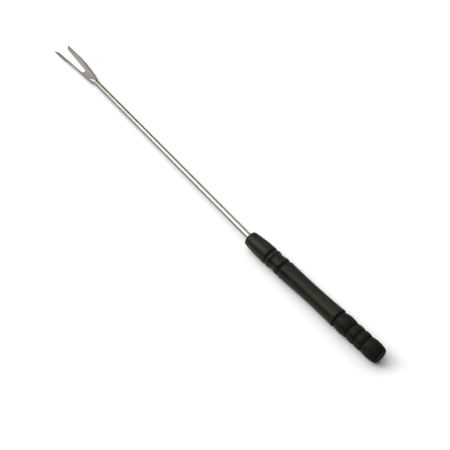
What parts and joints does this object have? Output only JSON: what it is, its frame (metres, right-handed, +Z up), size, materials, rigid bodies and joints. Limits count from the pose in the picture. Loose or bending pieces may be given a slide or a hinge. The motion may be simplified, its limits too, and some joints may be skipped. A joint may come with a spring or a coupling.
{
  "type": "marshmallow roasting fork",
  "caption": "Long fork for roasting over a fire: a bead-turned dark wooden handle and a thin steel tube whose slit end opens into spread tines.",
  "frame": {"origin": "centre of the flat end face of the handle's pommel, on the handle's axis", "axes": "+X along the handle's axis from the pommel towards the tines; +Z up, away from the table that the fork lies on; the trough of the fork head opens upwards"},
  "size_m": [0.5238, 0.0394, 0.018],
  "materials": {
    "dark_wood": "ebonised close-grained hardwood, satin oil finish, brown where the stain is thin",
    "steel": "stainless, drawn along the tube, satin and slightly darkened inside the opened end",
    "adhesive": "cured amber epoxy"
  },
  "bodies": {
    "root": {"handle": "dark_wood", "fork_tube": "steel", "tube_adhesive": "adhesive"}
  },
  "joints": []
}
